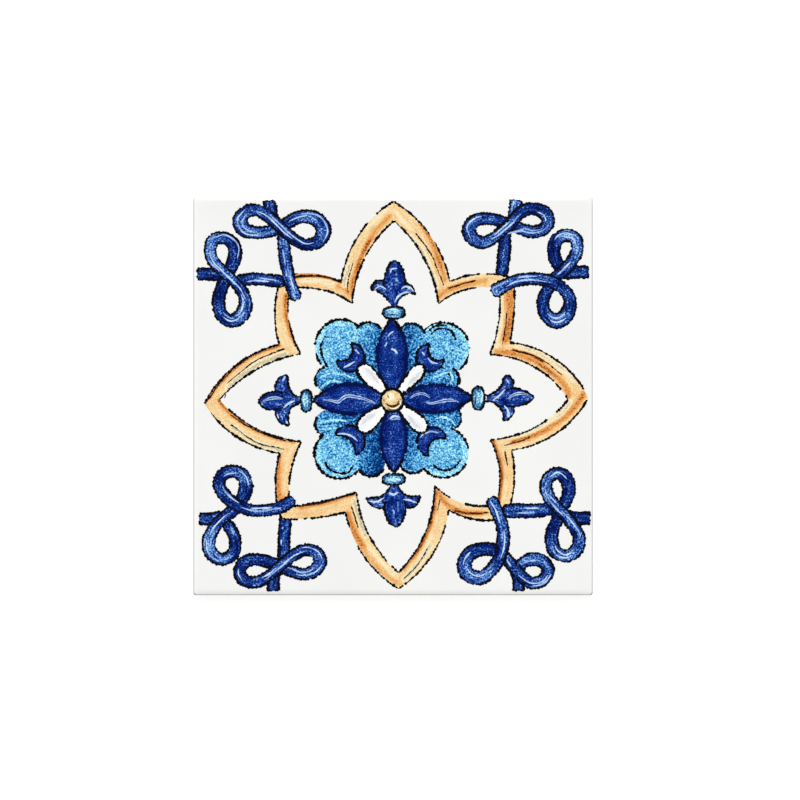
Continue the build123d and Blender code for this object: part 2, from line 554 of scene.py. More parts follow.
# Washes laid into the wet band: tone (0 burnt, 0.3 orange, 0.8 cream, 1 a grey ochre), half width
# and course, from the top point clockwise.
washes = [
    (0.8, 0.9, [(1, 92.5), (5, 87.5), (9, 83.5)]),
    (0.26, 1.2, [(14, 86), (17, 81.3), (20, 75.5), (22.5, 69.5), (24.5, 63.5), (26, 58)]),
    (0.98, 1.3, [(9, 79), (13, 74), (16.5, 68), (19.5, 61), (21.6, 55)]),
    (0.3, 1.4, [(22.8, 49.5), (27, 52.4), (32, 54.4), (38, 56), (46, 57.5)]),
    (0.0, 0.5, [(27.5, 53.7), (32, 55.3), (36, 56.4), (40.5, 57.3)]),
    (0.2, 2.2, [(58.4, 53), (58.6, 46), (58.3, 40), (57.4, 34), (56.4, 28)]),
    (0.85, 1.0, [(54, 48), (54.2, 42), (53.8, 36), (52.5, 30), (51, 25)]),
    (0.26, 1.5, [(52, 21.8), (57, 21.5), (63, 20.4), (69, 18.2), (74, 15.4), (79, 11.8), (83.5, 7.8),
                 (86.5, 4), (88, 0)]),
    (-0.1, 0.65, [(60, 22.9), (65, 22), (70, 20.2), (75, 17.2)]),
    (0.9, 1.1, [(62, 24.4), (70, 22.2), (78, 18.2), (85, 13), (90, 8)]),
    (0.22, 1.4, [(95.2, 0.5), (92.5, -4), (89, -8), (85, -11.6), (80, -15), (74, -18.4), (68, -21),
                 (60, -23.2)]),
    (0.9, 1.0, [(89, -3), (85, -8.4), (80, -11.9), (73, -15.9), (66, -19), (58, -21)]),
    (0.16, 1.1, [(50.4, -23), (52.6, -30), (54, -36), (54.3, -42), (53.6, -48), (52.6, -53)]),
    (0.26, 1.4, [(21.5, -48), (25, -52.5), (29, -56), (34, -57.9), (44, -59)]),
    (-0.05, 0.55, [(31, -57.6), (36, -58.9), (41, -59.1), (47, -58.8)]),
    (0.16, 1.3, [(20.8, -47), (20.4, -56), (19.2, -62), (17.2, -68), (14.2, -74), (10.7, -79.5),
                 (5, -86.5)]),
    (0.98, 1.1, [(18.5, -75), (14, -82.5), (9.5, -88), (5.5, -92)]),
    (0.22, 1.5, [(-22.6, -59.5), (-20.8, -65), (-18, -71), (-15, -75.5)]),
    (1.0, 1.1, [(-19.8, -52), (-18, -58), (-16, -64), (-13.5, -70)]),
    (0.38, 1.2, [(-15, -77), (-10, -83.5), (-5, -88.5), (2, -94)]),
    (0.85, 0.8, [(-10, -78), (-5, -84), (0, -88.8)]),
    (0.36, 0.9, [(-46, -56.4), (-36, -54.4), (-28, -52.4), (-20, -50)]),
    (-0.1, 0.75, [(-47, -55.1), (-40, -54.3), (-32, -52.5), (-25, -50.5), (-19.5, -49.1)]),
    (0.22, 1.6, [(-57, -30), (-57.6, -36), (-57.8, -42), (-57.3, -48), (-56, -53)]),
    (0.98, 1.0, [(-80, -16), (-73, -21), (-65, -25), (-57, -27.4)]),
    (0.26, 1.1, [(-76, -13), (-68, -17.6), (-60, -20.9), (-50, -23.2)]),
    (0.2, 0.9, [(-87.2, -2.4), (-84.5, -6), (-81, -9.6), (-77, -12.5)]),
    (1.0, 1.3, [(-83, 3.4), (-77, 9.2), (-70, 13.9), (-62, 17.9), (-54, 20.8)]),
    (0.16, 1.0, [(-92, -1), (-86, 7), (-80, 13), (-73, 18.4), (-66, 22), (-57, 25)]),
    (0.22, 1.4, [(-53.6, 50), (-53.8, 44), (-53, 38), (-51.2, 32), (-48.8, 26)]),
    (0.85, 1.2, [(-46, 57.4), (-40, 57.7), (-34, 57.2), (-29, 55.8)]),
    (0.28, 0.7, [(-48, 61), (-41, 61.4), (-34, 60.8), (-29, 59.2)]),
    (-0.1, 0.75, [(-49, 59.3), (-43, 59.8), (-37, 59.7), (-31, 58.6), (-26, 56.8)]),
    (0.35, 1.3, [(-28, 54.6), (-24.5, 53.4), (-22, 51)]),
    (0.98, 1.0, [(-24.6, 55), (-23.4, 60), (-22, 65)]),
    (0.22, 1.3, [(-20.4, 50), (-20.2, 56), (-18.6, 62), (-16.4, 68), (-13.8, 74), (-11, 79)]),
    (0.32, 1.3, [(-11, 79), (-8, 83), (-5, 86.5), (-1.5, 89.5)]),
    (0.82, 0.9, [(-13, 84), (-8, 89), (-3, 93)]),
]
accents = [
    [(-20, 66.4), (-22.6, 55.6), (-22.6, 51.2)],
    [(11.2, 81.3), (18.9, 71), (23.2, 60.7), (25.5, 55.1)],
    [(27.9, 53.7), (37.3, 56.5), (41.5, 57.7)],
    [(57, 41.6), (56.3, 34.6), (54.9, 25.7)],
    [(60.5, 22.5), (72.3, 19.2), (84.9, 10.1)],
    [(55.4, -24.9), (64.7, -22.6), (69, -20.5)],
    [(37.3, -58.7), (41.9, -59), (48.1, -58.3)],
    [(23.6, -52), (22.2, -58)],
    [(17.3, -76.7), (11.9, -85.1), (5.3, -92.1)],
    [(-20.9, -55.2), (-17.6, -65.5), (-14.8, -71.6)],
    [(-81.2, -14.4), (-68.1, -23.5), (-54.5, -27)],
    [(-54, 23.4), (-67.1, 18.3), (-83.1, 6.1)],
    [(-84.5, -1.4), (-83.5, 0.7)],
    [(56, -27.8), (56.6, -31.5), (57.3, -35)],
    [(-58.4, 22.4), (-54.4, 23.4)],
    [(-92.4, -2.4), (-88.2, 4.4), (-82.2, 11.2), (-75.6, 16.6)],
    [(-81.6, -9.6), (-74, -14.5), (-64, -19.5), (-53.6, -22.8)],
    [(20.5, -49), (20.2, -56), (18.8, -62.4)],
]
# The line between orange and cream on the upper left arm stands in for that arm's outer line.
arm_line = [(-49.4, 59.2), (-44, 59.9), (-38, 60), (-33, 59.2), (-29, 58), (-25.8, 57)]


def nearest(points, course):
    """Distance from every point to the closest step of a curved course."""
    gaps = points[..., None, :2] - smooth_path(course, 0.5)
    return np.sqrt((gaps**2).sum(axis=-1).min(axis=-1))


star_skins, star_lines = [], inked([smooth_path(arm_line)], band_level)
for here, ahead in zip(star, star[1:] + star[:1]):
    outer = bowed(here[:2], ahead[:2], here[4])
    inner = recut(bowed(here[2:4], ahead[2:4], here[5]), len(outer))
    share = (crowded(band_columns)[:, None] + 1) / 2
    across = outer[:, None] * (1 - share) + inner[:, None] * share
    tone = np.broadcast_to(0.6 + 0.06 * wander(distances(outer), 11, 1)[:, None], across.shape[:2])
    for wash_tone, half_width, course in washes:
        cover = np.exp(-((nearest(across, course) / half_width) ** 3) * 0.8)
        tone = tone + (wash_tone - tone) * cover
    star_skins.append(stroke(outer, inner, band_level, tone, columns=band_columns))
    star_lines += inked([outer, inner], band_level)
accent_lines = inked(map(smooth_path, accents), band_level, accent_rise)

ochre = enamel("ochre_enamel", [
    (0.0, (60, 28, 10)), (0.12, (150, 82, 32)), (0.26, (229, 148, 74)), (0.42, (240, 180, 112)),
    (0.58, (248, 212, 154)), (0.7, (252, 228, 178)), (0.82, (255, 243, 208)), (1.0, (206, 190, 156)),
], streaks=0.45, blots=0.2, speckle=0.6)
add_piece("star_band", star_skins, ochre)
pen_black = enamel("pen_black", [(0.3, (1, 2, 6)), (0.7, (16, 14, 18))], streaks=0.2, rough=0.16)
add_piece("star_outline", pen_strokes(star_lines, half_width=0.52) + pen_strokes(
    accent_lines, half_width=0.3), pen_black)

# The clouds: four patches of turquoise, each three round lobes washed in with a full brush and
# ringed with the pen. They meet under the petals, and the big lobes are paler along their rim.
cloud_level, sweep_rise = 0.012, 0.017
cloud_middle = (16, 17)


def disc(outline, centre, level, tone, dome=0.015, rows=12):
    """The skin of a round patch: rings that shrink from its outline towards its centre.

    The top stands over its level by a dome that falls off with the fourth power of the way out.
    The tone is a number or a formula in x and y.
    """
    out = np.append(1.0, np.sin(np.linspace(np.pi / 2, 0.02, rows)))[:, None]
    spread = outline[None, :, :2] - np.asarray(centre, float)
    flat = centre + spread * out[..., None]
    height = face_z + level + dome * (1 - out**4)
    height = np.where(np.arange(len(out))[:, None] == 0, face_z - lowest_glaze, height)
    rings = np.dstack([flat, np.broadcast_to(height, flat.shape[:2])])
    shade = tone(flat[..., 0], flat[..., 1]) if callable(tone) else tone
    from_centre = np.linalg.norm(spread, axis=-1) * out
    turn = np.linspace(0, 6, flat.shape[1])
    return skin(rings, np.stack(np.broadcast_arrays(from_centre / 2, turn, shade), axis=-1))


def oval(x, y, wide, tall, angle, power=1.0):
    """Points round a middle, at the cosine and sine of the angle times the half width and height.

    A power under one of both squares the oval off.
    """
    across, up = np.cos(angle), np.sin(angle)
    x = x + wide * np.sign(across) * np.abs(across) ** power
    y = y + tall * np.sign(up) * np.abs(up) ** power
    return np.column_stack([x, y])


def union_outline(lobes, centre, count=260):
    """The outline of overlapping ellipses: each ray from the centre runs to the last one's far side.

    A ray c + t d meets an ellipse where the square of its scaled distance from the middle is one.
    """
    x, y, wide, tall = np.array(lobes, float).T[:4, None]
    angle = np.linspace(0, 2 * np.pi, count, endpoint=False)[:, None]
    across, up = np.cos(angle), np.sin(angle)
    a = (across / wide) ** 2 + (up / tall) ** 2
    b = across * (centre[0] - x) / wide**2 + up * (centre[1] - y) / tall**2
    c = ((centre[0] - x) / wide) ** 2 + ((centre[1] - y) / tall) ** 2 - 1
    within = b**2 - a * c
    far = np.where(within > 0, (-b + np.sqrt(np.maximum(within, 0))) / a, 0).max(axis=1)
    return np.column_stack([centre[0] + far * across[:, 0], centre[1] + far * up[:, 0]])


# Lobes: middle, half width, half height, tone, first and last angle of the pen line. The last
# lobe of each cloud has no line: it is the wash that runs in under the petals.
clouds = [
    [(-26, 24.5, 13, 13.5, 0.56, 46, 222), (-12, 29.5, 7.2, 7.2, 0.38, 30, 150),
     (-33, 8, 6, 6.2, 0.42, 100, 215), (-13, 12, 14, 13, 0.3, 0, 0)],
    [(25, 23.3, 13.2, 13.2, 0.52, -52, 140), (9, 28.8, 7.2, 7.2, 0.36, 16, 145),
     (26.5, 8.2, 6.5, 6.5, 0.44, -40, 62), (14, 13, 14, 13, 0.36, 0, 0)],
    [(25.2, -28.6, 12.6, 12.6, 0.56, -142, 72), (27.8, -11, 6.3, 6.3, 0.36, -62, 50),
     (10, -32, 7, 7, 0.44, -160, -35), (14, -16, 13, 13, 0.4, 0, 0)],
    [(-26.8, -29.2, 12.5, 12.5, 0.56, 128, 322), (-32, -14, 7, 7, 0.46, 150, 250),
     (-11, -33.5, 7, 7, 0.16, 210, 335), (-14, -17, 13, 13, 0.2, 0, 0)],
]
cloud_skins, cloud_lines = [], []
for lobes in clouds:
    middle = np.sign(lobes[0][:2]) * cloud_middle

    def wash(x, y, lobes=lobes):
        """Each lobe's tone, weighed by how deep in the lobe the point lies, and a pale outer rim."""
        weight, total = 1e-6, 0
        for lx, ly, wide, tall, lobe_tone, *_ in lobes:
            depth = 1.06 - np.hypot((x - lx) / wide, (y - ly) / tall)
            share = np.clip(depth, 0, None) ** 0.7
            weight, total = weight + share, total + share * lobe_tone
        bx, by, wide, tall = lobes[0][:4]
        out = np.hypot((x - bx) / wide, (y - by) / tall)
        outward = ease((x - bx) * np.sign(bx) + (y - by) * np.sign(by), -6, 6)
        rim = 0.22 * ease(out, 0.72, 0.86) * outward * (out < 1.1)
        to_petal = np.minimum(np.abs(x), np.abs(y + 2) + 1)
        return total / weight + rim - 0.2 * ease(to_petal, 13, 7)

    cloud_skins.append(disc(union_outline(lobes, middle), middle, cloud_level, wash, rows=26))
    for x, y, wide, tall, _, first, last in lobes[:3]:
        angle = np.radians(np.linspace(first, last, 60))
        cloud_lines += inked([oval(x, y, wide, tall, angle)], cloud_level)
cloud_accents = [
    [(-33.8, 30), (-36, 24.6), (-35.3, 19.8), (-32.6, 14.1)],
    [(19, 30.5), (21.5, 32.9), (24.8, 33.6), (28.8, 32.5), (31.7, 27.7)],
    [(17.9, 32.4), (20, 34.3), (23.1, 35.2), (27, 35.2)],
    [(19.9, -34.2), (22.1, -36.6), (25.7, -37.5), (29.9, -36.6), (34.1, -32.1)],
    [(-34.1, -33), (-32, -36.6), (-27.5, -38.7), (-22.1, -38.4), (-19.9, -34.8)],
    [(27.8, 12.6), (29.6, 6.6)],
]
# Pale sweeps of the brush through the smaller lobes.
sweeps = [
    [(-37, 8.6), (-31.4, 11.1), (-25.1, 10.4), (-18.8, 8.6)],
    [(-37, 3.4), (-31, 7), (-25, 6.6)],
    [(-37.2, -13.6), (-29.6, -12.3), (-22.4, -12.9)],
    [(-36.6, -17.2), (-30, -16.4), (-24.5, -16.8)],
    [(19.5, 8.4), (24.5, 10.7), (28.8, 12)],
    [(27.8, 12.6), (29.8, 8.6), (28.8, 5.6)],
    [(21, -11.8), (25.6, -10.9), (29.2, -12.6), (31.2, -15.2)],
    [(-19.8, 27), (-18.9, 30.4), (-16, 33)],
]


def pointed(run, spacing, size):
    """How wide a thin stroke is along its run: the root of half a sine wave, and a wander in it."""
    return np.sqrt(np.clip(np.sin(np.pi * run / run[-1]), 0.004, 1)) * (1 + wander(run, spacing, size))


def dab(points, half_width, level, tone):
    """A thin stroke of the brush along the points, widest in its middle and pointed at both ends."""
    spine = smooth_path(points, 0.35)
    run = distances(spine)
    edges = both_sides(spine, (half_width * pointed(run, 1.6, 0.3))[:, None] * left_of(spine))
    return stroke(*edges, level, tone + 0.2 * wander(run, 3, 1), dome=0.006, columns=5)


sweep_level = cloud_level + sweep_rise
cloud_skins += [dab(line, 0.55, sweep_level, tone=0.84) for line in sweeps]
# A dark stroke lies beside three of them.
beside = (0.3, -1.5)
cloud_skins += [dab(line + beside, 0.4, sweep_level, tone=0.1) for line in np.array(sweeps[1:4])]
turquoise = enamel("turquoise_enamel", [
    (0.0, (2, 44, 108)), (0.14, (16, 84, 156)), (0.3, (50, 134, 202)), (0.48, (86, 170, 224)),
    (0.62, (116, 198, 240)), (0.78, (148, 224, 252)), (1.0, (196, 252, 255)),
], streaks=0.25, blots=0.4, speckle=2.1, grains=1350)
add_piece("clouds", cloud_skins, turquoise)
accent_lines = inked(map(smooth_path, cloud_accents), cloud_level)
add_piece("cloud_outline", pen_strokes(cloud_lines, half_width=0.68) + pen_strokes(
    accent_lines, half_width=0.52), pen_black)

# The dark petals: four lenses of cobalt between two bowed strokes, and beside them four
# crescents, round dabs with a bite out of their outer side, all laid thickly over the clouds.
# Navy runs down the petals' sides, and the black pen goes round their tips and the crescents.
petal_level, tip_rise, glint_rise, core_rise = 0.040, 0.024, 0.034, 0.05
# Base, tip, bow to the left and to the right on the way out.
petals = [
    ((-0.2, 0.5), (-0.3, 38.6), 7.6, 7.3),
    ((3.0, -1.6), (39.6, -0.8), 6.6, 7.5),
    ((0.0, -5.0), (0.3, -38.4), 6.7, 6.3),
    ((-3.2, -1.8), (-39.9, -2.3), 7.2, 7.8),
]
# One horn, the other, the bow of the outer arc and of the bite.
crescents = [
    ((-28.4, 17.9), (-21.1, 26.1), 11.7, 4.2),
    ((18.4, 25.9), (25.6, 18.4), 11.6, 4.2),
    ((26.7, -21.8), (18.0, -30.3), 11.6, 4.2),
    ((-18.8, -29.8), (-28.9, -19.6), 10.6, 3.2),
]
cobalt_skins, rim_lines, petal_lines = [], [], []


def petal_tone(edge):
    """Lighter down the middle, with a slow change along the stroke, and dark towards both edges."""
    change = 0.08 * wander(distances(edge), 6, 1)[:, None]
    return 0.5 + change - 0.3 * np.abs(crowded(columns_across)) ** 3


def picked(line, count):
    """This many of the line's own points, from its first to its last."""
    return line[np.linspace(0, len(line) - 1, count).astype(int)]


# The pen goes round the last fifth of a petal. The two edges of a lens meet to within the blunting.
tip_start, blunting = 0.8, 0.02
for base, tip, to_left, to_right in petals:
    left, right = bowed(base, tip, to_left, 0.5), bowed(base, tip, -to_right, 0.5)
    rows = min(len(left), len(right))
    left, right = picked(left, rows), picked(right, rows)
    left[[0, -1]] += blunting
    cobalt_skins.append(stroke(left, right, petal_level, petal_tone(left), dome=0.03))
    rim_lines += inked([left, right], petal_level)
    first = int(tip_start * rows)
    petal_lines += inked([left[first:], right[first:]], petal_level, tip_rise)
for horn, other_horn, bow, bite in crescents:
    outer = bowed(horn, other_horn, -bow, 0.4)
    inner = picked(bowed(horn, other_horn, -bite, 0.2), len(outer))
    inner[[0, -1]] += blunting
    cobalt_skins.append(stroke(outer, inner, petal_level, petal_tone(outer), dome=0.025))
    petal_lines += inked([outer, inner], petal_level)
cobalt = enamel("cobalt_enamel", [
    (0.0, (0, 8, 76)), (0.25, (1, 26, 110)), (0.45, (10, 46, 134)), (0.62, (28, 66, 154)),
    (0.8, (66, 104, 186)), (1.0, (130, 166, 222)),
], streaks=1.1, blots=0.5, speckle=1.7)
add_piece("cobalt_petals", cobalt_skins, cobalt)
add_piece("petal_outline", pen_strokes(petal_lines, half_width=0.66), pen_black)
pen_navy = enamel("pen_navy", [
    (0.3, (0, 6, 44)), (0.7, (4, 24, 92)),
], streaks=0.6, blots=0.4, speckle=0.4, rough=0.16)
add_piece("petal_rims", pen_strokes(rim_lines, half_width=0.85), pen_navy)
# Lavender lines on them: the course and the half width.
petal_glints = [
    ([(-2.8, 29.2), (-1.5, 31), (0.4, 32.2)], 0.45),
    ([(-1.1, 23.4), (0.6, 22.8), (2.3, 20.8)], 0.6),
    ([(-35, -2.2), (-30.5, -2.6), (-27.5, -3.2), (-25.2, -1.4), (-23, -0.3), (-19.2, -0.6), (-14, -1.8),
      (-8.4, -4.1)], 0.8),
    ([(8.6, -1.4), (11.3, 0.4), (15.5, 0.8), (18.6, -1.2)], 0.7),
    ([(16.2, -3.2), (18.6, -3.9), (24, -2.9), (28, -2.3), (33.2, -3.2)], 0.8),
    ([(-1.6, -11.9), (0.2, -10.4), (3.6, -11)], 0.6),
    ([(-1.2, -12.4), (1.4, -11.7), (3.8, -11.9)], 0.3),
    ([(-3, 26.8), (-3.9, 24.4)], 0.3),
    ([(-19.2, 23.2), (-16.8, 20.8)], 0.5),
    ([(-24.8, 14), (-21.9, 15.4), (-18.8, 17.2)], 0.5),
    ([(14.3, 22), (16, 20)], 0.35),
    ([(17.2, 18.9), (19.6, 16.6), (22.4, 16)], 0.5),
    ([(-28, -19.3), (-24.2, -19.2), (-20, -20.8), (-17.6, -23)], 0.5),
    ([(13.4, -21.2), (15.6, -19), (19, -18), (23, -18.8)], 0.5),
]


def glint_skins_along(courses, tone, core=0.24, broad=0.62):
    """Skins of lavender lines, with a thin navy core down the middle of the broad ones."""
    light = [dab(line, width, petal_level + glint_rise, tone) for line, width in courses]
    wide = [line for line, width in courses if width > broad]
    return light + [dab(line, core, petal_level + core_rise, -0.9) for line in wide]


lavender = enamel("lavender_enamel", [
    (0.0, (20, 44, 120)), (0.25, (140, 176, 234)), (0.55, (190, 216, 252)), (1.0, (236, 248, 255)),
], streaks=0.5, speckle=0.6)
add_piece("petal_glints", glint_skins_along(petal_glints, 0.5), lavender)

# The white petals and the dot: four drops of thick white between the dark petals, their tips
# drawn round with the pen, and over the middle a gold dot with a broad black ring.
white_level, dot_level, dot_dab_rise, ring_rise = 0.055, 0.075, 0.024, 0.02
# The point from which the drops spread, the steps of them that the dot hides, tips and half widths.
drop_base, hidden = (0, -2.2), 21
drops = [((-16.9, 14.9), 4.0), ((15.1, 15.0), 3.5), ((16.6, -17.6), 4.0), ((-17.0, -17.5), 4.3)]


def drop(tip, half_width):
    """Left and right edge of a drop with a round tip.

    The half width grows with the power 0.8 of the way out, and closes as the square root of one
    less the fifth power of it.
    """
    spine = bowed(drop_base, tip, 0.01, 0.25)
    share = np.linspace(0.004, 0.9995, len(spine))
    shape = share**0.8 * np.sqrt(1 - share**5)
    return both_sides(spine, (half_width * shape / shape.max())[:, None] * left_of(spine))


white_skins, white_lines = [], []
for tip, half_width in drops:
    left, right = drop(tip, half_width)
    across, out = crowded(columns_across), np.linspace(0, 1, len(left))[:, None]
    shade = np.exp(-(((across - 0.3) / 0.4) ** 2)) * ease(out, 0.3, 0.6) * ease(out, 1, 0.8)
    left, right, tone = left[hidden:], right[hidden:], (0.78 - 0.56 * shade)[hidden:]
    white_skins.append(stroke(left, right, white_level, tone, dome=0.03))
    white_lines += inked([np.vstack([left, right[::-1]])], white_level, 2 * pen_rise)
white_enamel = enamel("white_enamel", [
    (0.0, (196, 200, 208)), (0.3, (226, 227, 232)), (0.6, (252, 254, 254)), (1.0, (255, 255, 255)),
], streaks=0.7, speckle=0.6)
add_piece("white_petals", white_skins, white_enamel)
full_turn = np.linspace(0, 2 * np.pi, 90, endpoint=False)
dot_x, dot_y, dot_radius, ring_radius = -0.4, -2.4, 5.2, 5.72


def ball(x, y):
    """Light on the upper left of the dot, dark towards the lower right of its edge."""
    east, north = (x - dot_x) / dot_radius, (y - dot_y) / dot_radius
    shine = np.exp(-((east + 0.15) ** 2 + (north - 0.25) ** 2) * 6)
    shadow = ease(east - 1.2 * north, 0.3, 1.3) * ease(np.hypot(east, north), 0.3, 0.9)
    return 0.5 + 0.5 * shine - 0.5 * shadow


# Burnt strokes round the lower half of the dot, and the light on top of it.
dot_dabs = [
    ([(2.9, -2.4), (2.2, -4.4), (0.2, -5.4), (-1.9, -5.1), (-3.4, -3.9)], 0.6, 0.0),
    ([(4.2, -1.8), (3.4, -4.8), (0.8, -6.5), (-2, -6.2)], 0.35, 1.0),
    ([(-4.6, -3), (-4.4, -0.6)], 0.35, 0.25), ([(-1.3, 1.4), (-0.8, 0.2)], 0.5, 1.0),
    ([(-2.6, 0.4), (-2.2, -1.6)], 0.4, 0.35),
    ([(1.6, 1), (2.8, -0.6)], 0.4, 0.4),
]
gold = enamel("gold_enamel", [
    (0.0, (36, 24, 10)), (0.2, (142, 102, 54)), (0.45, (232, 196, 134)), (0.68, (252, 230, 182)),
    (1.0, (255, 255, 240)),
], streaks=0.2, blots=0.5, speckle=0.8)
dot_outline = oval(dot_x, dot_y, dot_radius, dot_radius, full_turn)
dot_skins = [disc(dot_outline, (dot_x, dot_y), dot_level, ball, dome=0.02)]
dot_skins += [dab(line, width, dot_level + dot_dab_rise, tone) for line, width, tone in dot_dabs]
add_piece("gold_dot", dot_skins, gold)
dot_ring = oval(dot_x, dot_y, ring_radius, ring_radius, full_turn)
ring_lines = inked([np.vstack([dot_ring, dot_ring[:3]])], dot_level, ring_rise)
add_piece("dot_outline", pen_strokes(white_lines, half_width=0.66) + pen_strokes(
    ring_lines, half_width=0.66, ragged=0.25), pen_black)

# The fleurs-de-lis beyond the petals: a leaf and two curls from one root, laid with a loaded
# brush, streaked with a lighter blue and drawn round with the pen.
# The leaf lies over the curls, and its pen line starts clear of them.
fleur_level, leaf_rise, rows, leaf_line_start = 0.020, 0.024, 60, 22
# Left and right edge of each blade, from the root to the tip.
fleurs = [
    [[(-0.8, 44.7), (-3.2, 50), (-4.6, 56), (-3.5, 61.5), (-1.6, 65.8), (0.6, 67.8)],
     [(1.5, 44.7), (4.4, 50), (6.1, 56), (5.3, 61.5), (3.4, 65.8), (0.8, 67.8)]],
    [[(0.6, 45), (-2.6, 47.7), (-5, 50.5), (-8.2, 52.6), (-11.3, 53.1)],
     [(1.2, 45), (-1.5, 53), (-4.9, 57.5), (-8.7, 57), (-11.4, 53.3)]],
    [[(0.8, 45), (3, 53), (6.2, 56.3), (9.3, 54.8), (11.5, 50.6)],
     [(1.4, 44.4), (3, 48.1), (5.3, 50.2), (8.9, 51.2), (11.4, 50.3)]],
    [[(46.8, -0.9), (53, 1.2), (56.5, 2.8), (60, 3.5), (64, 3), (68, 1.3), (70.8, -0.7)],
     [(46.8, -2.1), (53, -4), (56, -5.1), (60, -5.7), (64.5, -4.8), (68.5, -2.9), (70.8, -0.9)]],
    [[(47, -0.8), (49.5, 0.9), (52.1, 2.6), (54.7, 5.7), (55.8, 9.4), (57.2, 10.4)],
     [(47, -1.6), (54, -1), (59, 2), (60.2, 5), (59.4, 8.6), (57.4, 10.3)]],
    [[(47, -1.4), (54, -2), (60, -4), (60.7, -7), (59.4, -10.3), (56.6, -12.5)],
     [(47, -2.2), (50.4, -3.7), (53.7, -6.5), (55.2, -10), (55.3, -12), (56.4, -12.7)]],
    [[(1.6, -44.5), (4.6, -50), (6.4, -56), (5.6, -60.4), (4, -64), (1.8, -66)],
     [(-0.8, -44.5), (-3.2, -50), (-4.4, -55.2), (-3.8, -59.9), (-1.8, -63.8), (1.6, -66)]],
    [[(1.6, -45), (5, -48.9), (8.6, -50.5), (11.4, -50.4), (13.7, -50.1)],
     [(0.5, -45), (3, -53), (6.5, -56.4), (11.2, -55.2), (13.8, -50.3)]],
    [[(0.2, -45), (-2, -53), (-5, -56.4), (-10.4, -55.2), (-13.8, -51.4)],
     [(-0.9, -45), (-3, -47.8), (-6.3, -50.5), (-10.3, -51.2), (-13.8, -51.2)]],
    [[(-47, -2.7), (-53, -4.9), (-58.7, -7), (-62, -7), (-65.2, -5.8), (-67.5, -2.8)],
     [(-47, -1.9), (-53, 0.4), (-59.2, 1.9), (-62.4, 1.4), (-65.2, 0), (-67.5, -2.6)]],
    [[(-46.4, -2.6), (-54, -2.5), (-59, 1.6), (-58.4, 6), (-56.8, 9), (-54.4, 10.5)],
     [(-46.4, -0.9), (-49.1, 0), (-51.4, 2.9), (-52.8, 6.6), (-52.4, 9), (-54, 10.6)]],
    [[(-46.4, -3.8), (-50, -5.4), (-52, -8.6), (-52.4, -12), (-51.8, -15.1)],
     [(-46.4, -2.3), (-54, -2.5), (-58.5, -6.6), (-58.6, -10), (-56.8, -13.4), (-52, -15.3)]],
]
fleur_skins, fleur_lines = [], []
for index, sides in enumerate(fleurs):
    left, right = (recut(smooth_path(side, 0.25), rows) for side in sides)
    rise, first = (leaf_rise, leaf_line_start) if index % 3 == 0 else (0, 0)
    fleur_skins.append(stroke(left, right, fleur_level + rise, petal_tone(left), dome=0.015))
    fleur_lines += inked([left[first:], right[first:]], fleur_level + rise)
# Two ticks of the pen join the right one to its bead.
ticks = ([(45.6, 0.4), (46.8, 0.1), (48, -0.3)], [(45.6, -2.7), (46.8, -2.9), (48, -3.2)])
fleur_lines += inked([smooth_path(tick, 0.25) for tick in ticks], fleur_level)
fleur_blue = enamel("fleur_blue", [
    (0.0, (0, 10, 70)), (0.25, (4, 34, 118)), (0.45, (18, 56, 144)), (0.62, (46, 86, 168)),
    (0.8, (96, 134, 204)), (1.0, (176, 204, 240)),
], streaks=1.8, blots=0.6, speckle=1.6, grains=1000)
add_piece("fleurs", fleur_skins, fleur_blue)
add_piece("fleur_outline", pen_strokes(fleur_lines, half_width=0.54), pen_black)
# Their lavender lines are brighter, and two of them are the bare tips of curls.
fleur_glints = [
    ([(-55.3, 7.2), (-54.5, 8.6), (-53.9, 9.7)], 0.62), ([(-53.6, -12.6), (-52.8, -14.1)], 0.45),
    ([(57.4, -7.6), (58.3, -9.4), (57.3, -11.2)], 0.48),
    ([(6.8, 54.9), (9, 53.8), (10.4, 52)], 0.35),
    ([(-1.4, 61.2), (-0.6, 63.2), (2.2, 63.6)], 0.4),
    ([(-9.4, 52.9), (-6.5, 54.7), (-3.3, 53)], 0.35),
    ([(0.8, 46.4), (2.6, 49.6), (5.4, 51.4), (9, 51.8)], 0.46),
    ([(4, 53.2), (6.4, 54.6), (8.6, 53)], 0.4),
    ([(-65.8, -3.6), (-62.5, -1.8), (-58, -1.2), (-55.2, -1.7)], 0.65),
    ([(-54.9, -6.4), (-52.6, -4.2), (-49.2, -2.6)], 0.45),
    ([(-58.1, -9), (-57.2, -11.6)], 0.3),
    ([(-12.4, -52.8), (-8.4, -53.2), (-4.2, -51)], 0.4),
    ([(-2.2, -48.6), (0.2, -49.6), (2.8, -48.4)], 0.6),
    ([(5.1, -52), (8.2, -52.4), (12, -53.8)], 0.4),
    ([(57.4, -1.7), (60.5, 0.4), (64, 1.1), (68, 0.2)], 0.65),
    ([(49.8, -2.4), (53, -0.2), (56.4, 3.4)], 0.4),
    ([(56.6, 8.4), (58.2, 6)], 0.35),
    ([(55.6, -5), (57.6, -7.6), (57.2, -10.6)], 0.45),
]
add_piece("fleur_glints", glint_skins_along(fleur_glints, 0.66), lavender)

# The beads: a flat round one at the root of every fleur, of pale blue shaded towards its edge.
bead_level, bead_dab_rise, outline_inset, squareness = 0.05, 0.034, 0.3, 0.8
